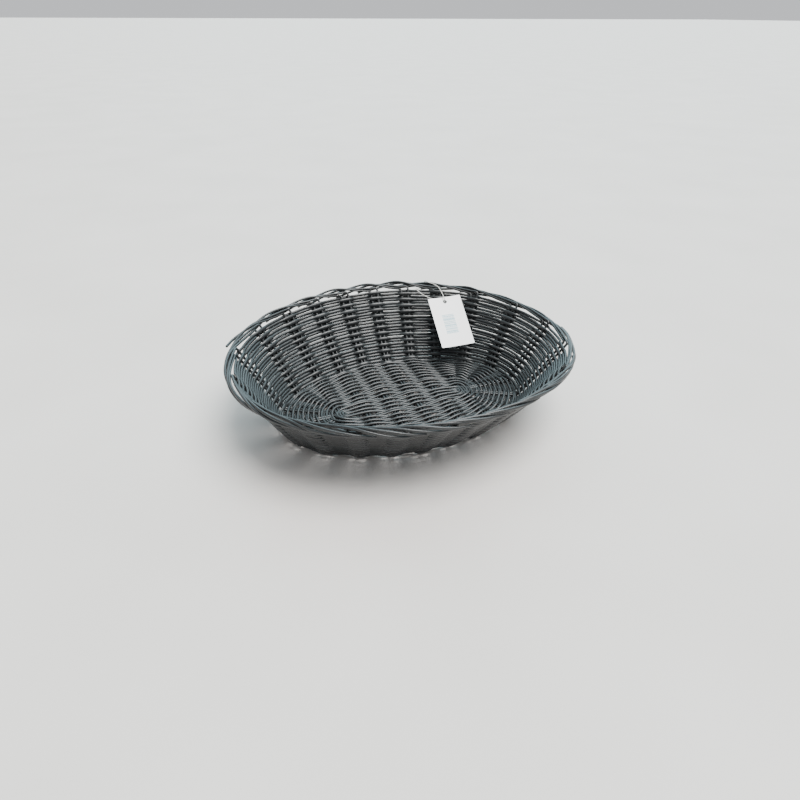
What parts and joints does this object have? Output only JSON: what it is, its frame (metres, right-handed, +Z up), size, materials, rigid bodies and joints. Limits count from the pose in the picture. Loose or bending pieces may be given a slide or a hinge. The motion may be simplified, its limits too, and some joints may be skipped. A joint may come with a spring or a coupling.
{
  "type": "woven fruit basket",
  "caption": "Oval flared bowl basket woven from round dark polypropylene strands, with a rolled border and a small card tag on a string loop.",
  "frame": {"origin": "on the table, under the middle of the base's box", "axes": "+X along the basket's length, +Y across it, +Z up"},
  "size_m": [0.3012, 0.2564, 0.0685],
  "materials": {
    "strand": "smooth, slightly shiny extruded polypropylene",
    "string": "thin twisted thread",
    "card": "smooth coated card"
  },
  "bodies": {
    "basket": {"cross_stake_1": "strand", "cross_stake_2": "strand", "cross_stake_3": "strand", "cross_stake_4": "strand", "cross_stake_5": "strand", "cross_stake_6": "strand", "right_end_stake_1": "strand", "right_end_stake_2": "strand", "right_end_stake_3": "strand", "right_end_stake_4": "strand", "right_end_stake_5": "strand", "left_end_stake_1": "strand", "left_end_stake_2": "strand", "left_end_stake_3": "strand", "left_end_stake_4": "strand", "left_end_stake_5": "strand", "floor_weave_1": "strand", "floor_weave_2": "strand", "floor_weave_3": "strand", "wall_weave_1": "strand", "wall_weave_2": "strand", "wall_weave_3": "strand", "wall_weave_4": "strand", "wall_weave_5": "strand"},
    "tag_loop": {"tag_string": "string", "string_knot": "string"},
    "tag": {"price_tag": "card"}
  },
  "joints": [
    {"name": "string_swing", "type": "hinge", "parent": "basket", "child": "tag_loop", "pos_m": [0.06612, 0.11079, 0.06283], "axis": [-0.9232, 0.3843, 0], "range_deg": [0, 200]},
    {"name": "tag_turn", "type": "hinge", "parent": "tag_loop", "child": "tag", "pos_m": [0.07669, 0.07979, 0.05638], "axis": [-0.055, -0.6153, 0.7864], "range_deg": [-20, 15]}
  ]
}
